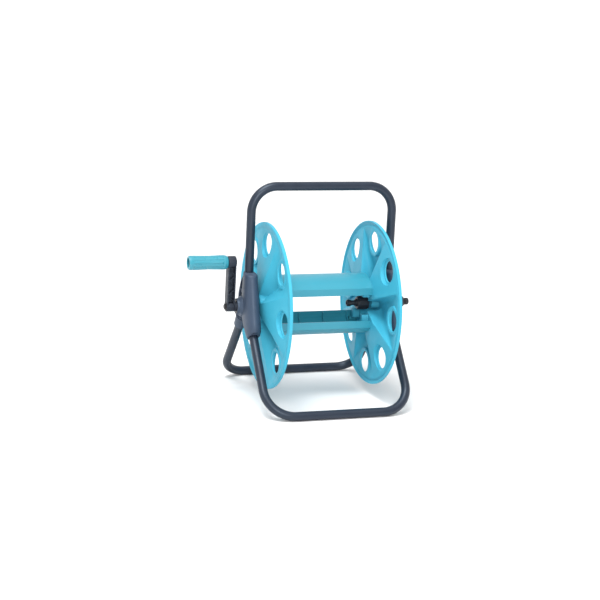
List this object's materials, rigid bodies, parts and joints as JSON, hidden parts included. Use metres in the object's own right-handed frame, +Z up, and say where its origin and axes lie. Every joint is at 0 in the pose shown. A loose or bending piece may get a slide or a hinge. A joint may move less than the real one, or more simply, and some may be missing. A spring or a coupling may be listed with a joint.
{
  "type": "garden hose reel",
  "caption": "Free-standing garden hose reel: bent-tube carry frame with side brackets, a crank-wound reel of two dished flanges and channel drum bars, and a through-axle water inlet.",
  "frame": {"origin": "on the ground, at the centre of the whole object's footprint box", "axes": "+X along the reel's axle from the crank to the water inlet, +Y to the rear, +Z up"},
  "size_m": [0.4224, 0.305, 0.394],
  "materials": {
    "frame_tube": "satin dark slate powder coat",
    "bracket_plastic": "satin moulded polypropylene, fine grain",
    "crank_plastic": "satin moulded plastic",
    "bush_plastic": "black acetal",
    "steel": "black zinc plating",
    "flange_plastic": "semi-gloss turquoise moulding",
    "bar_plastic": "semi-gloss turquoise moulding",
    "grip_plastic": "semi-gloss fluted turquoise moulding",
    "spindle_plastic": "semi-gloss turquoise moulding",
    "connector_plastic": "satin black moulding",
    "seal_rubber": "matte nitrile rubber"
  },
  "bodies": {
    "frame": {"handle_tube": "frame_tube", "front_leg_tube": "frame_tube", "rear_leg_tube": "frame_tube", "left_bracket": "bracket_plastic", "right_bracket": "bracket_plastic", "left_bush": "bush_plastic", "right_bush": "bush_plastic", "handle_screws": "steel", "leg_screws": "steel"},
    "reel": {"left_flange": "flange_plastic", "right_flange": "flange_plastic", "upper_bar": "bar_plastic", "lower_bar": "bar_plastic", "bar_rivets": "bar_plastic", "drive_shaft": "crank_plastic", "crank_arm": "crank_plastic", "crank_screw": "steel", "crank_washer": "steel", "grip_pin": "steel", "water_spindle": "spindle_plastic", "spindle_clip": "steel", "spindle_ring": "seal_rubber", "hose_connector": "connector_plastic", "hose_nut": "connector_plastic", "hose_seal": "seal_rubber", "hose_nose_ring": "seal_rubber"},
    "grip": {"crank_grip": "grip_plastic"},
    "inlet": {"inlet_connector": "connector_plastic", "inlet_clip": "steel", "inlet_nose_ring": "seal_rubber"}
  },
  "joints": [
    {"name": "reel_spin", "type": "hinge", "parent": "frame", "child": "reel", "pos_m": [0.03515, 0.0025, 0.1705], "axis": [1, 0, 0], "continuous": true},
    {"name": "grip_spin", "type": "hinge", "parent": "reel", "child": "grip", "pos_m": [-0.17485, 0.0025, 0.2515], "axis": [1, 0, 0], "continuous": true},
    {"name": "inlet_swivel", "type": "hinge", "parent": "reel", "child": "inlet", "pos_m": [0.19515, 0.0025, 0.1705], "axis": [1, 0, 0], "continuous": true}
  ]
}
